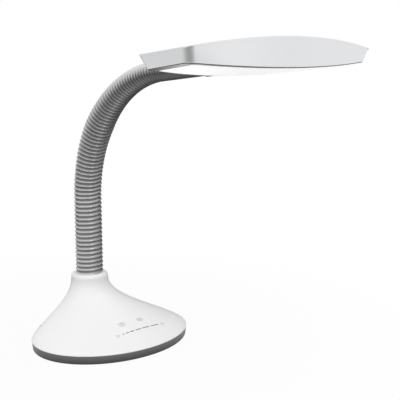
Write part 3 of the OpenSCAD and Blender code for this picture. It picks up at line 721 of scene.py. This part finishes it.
def ribbed_sleeve():
    """One stretch of sleeve over each joint, from the middle of one link to the middle of the next."""
    group = sleeve_tree()
    last = LINK_COUNT - 1
    for joint in range(1, LINK_COUNT):
        name = f"sleeve_{joint:02d}"
        start = SLEEVE_GAP if joint == 1 else (joint - 0.5) * LINK_LEN
        end = NECK_LEN if joint == last else (joint + 0.5) * LINK_LEN
        rings = int(round((end - start) / SLEEVE_STEP)) + 1
        mesh = outward(grown(name, group, {"Start": start, "End": end, "Rings": rings,
                                           "Finish": FINISHES["neck_sleeve"]}))
        nodes = [f"neck_link_{joint:02d}"]
        if joint == 1:
            nodes.append("neck_lead")
        if joint == last:
            nodes.append(f"neck_link_{LINK_COUNT:02d}")
        stretch = piece(name, mesh, "neck_sleeve", None, *nodes)
        ends = [(body_of(joint), at_axis((joint - BLEND_SPAN) * LINK_LEN)),
                (body_of(joint + 1), at_axis((joint + BLEND_SPAN) * LINK_LEN))]
        if joint in BLENDED_BACK:
            ends.reverse()
        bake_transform(stretch)


def drape_tree():
    """Geometry Nodes that lay flat marks down on the shell and give them the ink's thickness."""
    tree = Maker("draped_marks", {"Lift": INK_LIFT * MM, "Ink": INK_T * MM}, objects=("Marks", "Shell"))
    flat, shell = (tree.node("GeometryNodeObjectInfo", None, {"Object": tree.given[key]}, out="Geometry")
                   for key in ("Marks", "Shell"))
    hit, normal = tree.node("GeometryNodeRaycast", None, {
        "Target Geometry": shell, "Ray Direction": (0.0, 0.0, -1.0), "Ray Length": MARKS_FALL * MM},
        out=("Hit Position", "Hit Normal"))
    lift = tree.scaled(normal, tree.given["Lift"])
    spot = tree.node("ShaderNodeVectorMath", {"operation": "ADD"}, {0: hit, 1: lift})
    laid = tree.node("GeometryNodeSetPosition", None, {"Geometry": flat, "Position": spot})
    raised = tree.node("GeometryNodeExtrudeMesh", None,
                       {"Mesh": laid, "Offset Scale": tree.given["Ink"], "Individual": False})
    under = tree.node("GeometryNodeFlipFaces", None, {"Mesh": laid})
    both = tree.node("GeometryNodeJoinGeometry")
    for part in (raised, under):
        tree.tree.links.new(part.socket, both.socket.node.inputs[0])
    return tree.close(both, weld=1e-7)


def flat_strip(points, width, closed=False):
    """A ribbon of quads along a line in plan, in millimetres."""
    path = np.asarray(points, float)
    ahead = np.roll(path, -1, 0) if closed else np.vstack([path[1:], path[-1:]])
    behind = np.roll(path, 1, 0) if closed else np.vstack([path[:1], path[:-1]])
    run = ahead - behind
    side = np.stack([-run[:, 1], run[:, 0]], 1) / np.linalg.norm(run, axis=1)[:, None] * width / 2
    count = len(path)
    verts = np.concatenate([path + side, path - side])
    steps = range(count if closed else count - 1)
    faces = [(i, count + i, count + (i + 1) % count, (i + 1) % count) for i in steps]
    return verts, faces


def ring_points(x, y, radius, squash, first=0.0, last=360.0, count=28):
    """Points round a ring or an arc in plan, squashed along y."""
    turn = np.radians(np.linspace(first, last, count, endpoint=last - first < 360.0))
    return np.stack([x + radius * np.cos(turn), y + squash * radius * np.sin(turn)], 1)


def line_points(x0, y0, x1, y1, count=6):
    """Points along a straight stroke in plan."""
    return np.linspace((x0, y0), (x1, y1), count)


def marks_object(name, strips):
    """Flat marks in plan, high over the shell, ready to be draped."""
    verts, faces = [], []
    for points, quads in strips:
        faces += [tuple(i + len(verts) for i in quad) for quad in quads]
        verts += [(x * MM, y * MM, MARKS_Z * MM) for x, y in points]
    mesh = bpy.data.meshes.new(name)
    mesh.from_pydata(verts, [], faces)
    work = bmesh.new()
    work.from_mesh(mesh)
    for one in work.faces:
        if one.normal.z < 0.0:
            one.normal_flip()
    work.to_mesh(mesh)
    work.free()
    return shown(name, mesh)


def slider_y(x):
    """The slider's slight curve in plan, in millimetres."""
    return SLIDER_BOW * x * x + SLIDER_SLANT * x + SLIDER_Y


def sun_strips(x, y, reach):
    """A small sun: a ring with eight rays."""
    strips = [flat_strip(ring_points(x, y, SUN_R, SIGN_SQUASH), SUN_LINE, True)]
    for a in range(0, 360, 45):
        c, n = math.cos(math.radians(a)), SIGN_SQUASH * math.sin(math.radians(a))
        ray = line_points(x + RAY_FROM * c, y + RAY_FROM * n, x + reach * c, y + reach * n, 3)
        strips.append(flat_strip(ray, RAY_LINE))
    return strips


def touch_marks(shell):
    """The slider's growing dashes and its four small signs, printed on the front of the shell."""
    group = drape_tree()
    dashes, signs = [], []
    for first, last in DASHES:
        line = [(x, slider_y(x)) for x in np.linspace(first, last, 8)]
        dashes.append(flat_strip(line, DASH_W))
    for x, reach in SUNS:
        signs += sun_strips(x, slider_y(x), reach)
    for x, y in (POWER_SPOT, MODE_SPOT):
        signs.append(flat_strip(ring_points(x, y, BUTTON_R, BUTTON_SQUASH, count=44), BUTTON_LINE, True))
    x, y = POWER_SPOT
    signs.append(flat_strip(ring_points(x, y, POWER_R, SIGN_SQUASH, 125.0, 415.0), POWER_LINE))
    signs.append(flat_strip(line_points(x, y + 0.2, x, y + 2.2), POWER_LINE))
    x, y = MODE_SPOT
    for lift in (-1.0, 0.0, 1.0):
        signs.append(flat_strip(line_points(x - MODE_HALF, y + lift, x + MODE_HALF, y + lift), MODE_LINE))
    for name, strips, ink in (("slider_dashes", dashes, MARK_INK), ("touch_signs", signs, ICON_INK)):
        flat = marks_object(name + "_flat", strips)
        mesh = grown(name, group, {"Marks": flat, "Shell": shell, "Finish": ink})
        bpy.data.objects.remove(flat)
        piece(name, mesh, "skirt_grey", "base", finish=ink)


def dress_cad(frame):
    """Every CAD node that still shows takes its slot's finish."""
    slots = {part["node"]: part["material_slot"] for part in frame["record"]["subparts"]}
    for name, node in frame["nodes"].items():
        node.data.materials.clear()
        node.data.materials.append(FINISHES[slots[name]])


def seen_share(tree):
    """1 on the rays that show the surround itself: straight to the camera, mirrored or passed through."""
    straight, mirrored, passed = tree.node(
        "ShaderNodeLightPath", out=("Is Camera Ray", "Is Glossy Ray", "Is Transmission Ray"))
    return (straight + mirrored + passed).at_most(1.0)


def stage_piece(name, points, faces, material):
    """A mesh that belongs to the studio and not to the lamp."""
    mesh = bpy.data.meshes.new(name)
    mesh.from_pydata(points, [], faces)
    mesh.materials.append(material)
    made = shown(name, mesh)
    return made


def curved_card(name, middle, profile, tones, strength=1.0):
    """Card swept round a middle that only mirrored light sees, from black to white along its bearings."""
    bearings = np.linspace(tones[0][0], tones[-1][0], CARD_STEPS + 1)
    levels = np.interp(bearings, *zip(*tones))
    points = [(middle[0] + radius * math.cos(a), middle[1] + radius * math.sin(a), z)
              for radius, z in profile for a in np.radians(bearings)]
    row = CARD_STEPS + 1
    faces = [(row * j + i, row * j + i + 1, row * (j + 1) + i + 1, row * (j + 1) + i)
             for j in range(len(profile) - 1) for i in range(CARD_STEPS)]
    finish = Finish(name)
    material = finish.glow_over(finish.attribute("level"), (0.02, 0.02, 0.02), strength)
    card = stage_piece(name, points, faces, material)
    level = card.data.attributes.new("level", "FLOAT", "POINT")
    level.data.foreach_set("value", np.tile(levels, len(profile)))
    card.visible_camera = card.visible_diffuse = card.visible_shadow = False


def studio_floor():
    """Pale floor that runs out into an even white surround and keeps the lamp's shadow."""
    floor = Finish("studio_floor")
    reach = floor.node("ShaderNodeVectorMath", {"operation": "LENGTH"}, {0: floor.place}, out=1)
    share = (reach * reach * 0.2 + 0.965).at_most(1.0)
    material = floor.glow_over(seen_share(floor) * share, (FLOOR_GREY, FLOOR_GREY, FLOOR_GREY))
    corners = [(x * FLOOR_HALF, y * FLOOR_HALF, FLOOR_Z) for x, y in ((-1, -1), (1, -1), (1, 1), (-1, 1))]
    stage_piece("studio_floor", corners, [(0, 1, 2, 3)], material)


def studio_cards():
    """What the polish mirrors: a cove round the head's near corner, and bands for the neck and the foot."""
    cove = ((0.12, 0.003), (0.42, 0.003), (0.42, 0.36), (0.36, 0.62), (0.2, 0.72), (0.02, 0.75))
    curved_card("corner_card", (-0.11, -0.29), cove, CORNER_TONES, 1.15)
    curved_card("neck_card", (0.0, 0.0), ((0.2, 0.0), (0.2, 0.27)), NECK_TONES, 2.2)
    curved_card("under_card", (0.0, 0.0), ((0.15, 0.001), (0.9, 0.001)), ((-12, 0.05), (200, 0.05)))
    curved_card("foot_card", (0.0, -0.03), ((0.1, 0.001), (0.22, 0.001)), ((150, 0.08), (290, 0.08)))
    curved_card("back_card", (-0.11, -0.26), ((0.5, 0.25), (0.5, 0.9)), ((40, 0.75), (140, 0.75)))


def studio_sky():
    """Even light from all round, white where it is seen."""
    world = bpy.data.worlds.new("studio")
    bpy.context.scene.world = world
    world.use_nodes = True
    world.node_tree.nodes.clear()
    sky = Tree(world.node_tree)
    strength = SKY_FILL + seen_share(sky) * (1 - SKY_FILL)
    air = sky.node("ShaderNodeBackground", None, {"Color": (1.0, 1.0, 1.0), "Strength": strength})
    sky.node("ShaderNodeOutputWorld", None, {0: air})


def studio_lamps():
    """Soft lamps aimed at the lamp's middle; their own images stay out of its polish."""
    for name, (spot, power, size) in LAMPS.items():
        light = bpy.data.lights.new(name, "AREA")
        light.energy, light.size = power, size
        lamp = shown(name, light)
        lamp.location = spot
        lamp.visible_glossy = False
        lamp.rotation_euler = (Vector(LAMP_AIM) - lamp.location).to_track_quat("-Z", "Y").to_euler()


def camera():
    """The photograph's viewpoint."""
    lens = bpy.data.cameras.new("camera")
    lens.lens, lens.sensor_width = LENS, SENSOR
    eye = shown("camera", lens)
    eye.location = EYE
    eye.rotation_euler = (math.radians(EYE_TILT), 0.0, math.radians(EYE_TURN))
    bpy.context.scene.camera = eye


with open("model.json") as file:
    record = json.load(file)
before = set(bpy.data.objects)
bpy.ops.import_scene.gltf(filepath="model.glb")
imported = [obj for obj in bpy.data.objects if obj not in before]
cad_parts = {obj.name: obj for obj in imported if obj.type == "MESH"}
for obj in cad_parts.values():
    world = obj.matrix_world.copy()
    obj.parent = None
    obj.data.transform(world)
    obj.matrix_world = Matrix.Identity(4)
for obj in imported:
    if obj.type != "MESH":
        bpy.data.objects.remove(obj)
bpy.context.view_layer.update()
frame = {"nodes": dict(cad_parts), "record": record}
dress_cad(frame)
shell = piece("base_shell_skin", base_shell(), "shell_white", "base", "base_shell")
piece("base_skirt_skin", base_skirt(), "skirt_grey", "base", "base_skirt")
piece("head_shell_skin", head_shell(), "head_white", "head", "head_shell")
piece("head_bezel_skin", head_bezel(), "skirt_grey", "head", "head_bezel", finish=BEZEL_GREY)
piece("diffuser_skin", diffuser(), "diffuser_white", "head", "diffuser")
piece("head_ferrule_skin", head_ferrule(), "ferrule_grey", "head", "head_ferrule")
ribbed_sleeve()
touch_marks(shell)
studio_floor()
studio_cards()
studio_sky()
studio_lamps()
camera()
bpy.context.scene.view_settings.view_transform = "Standard"
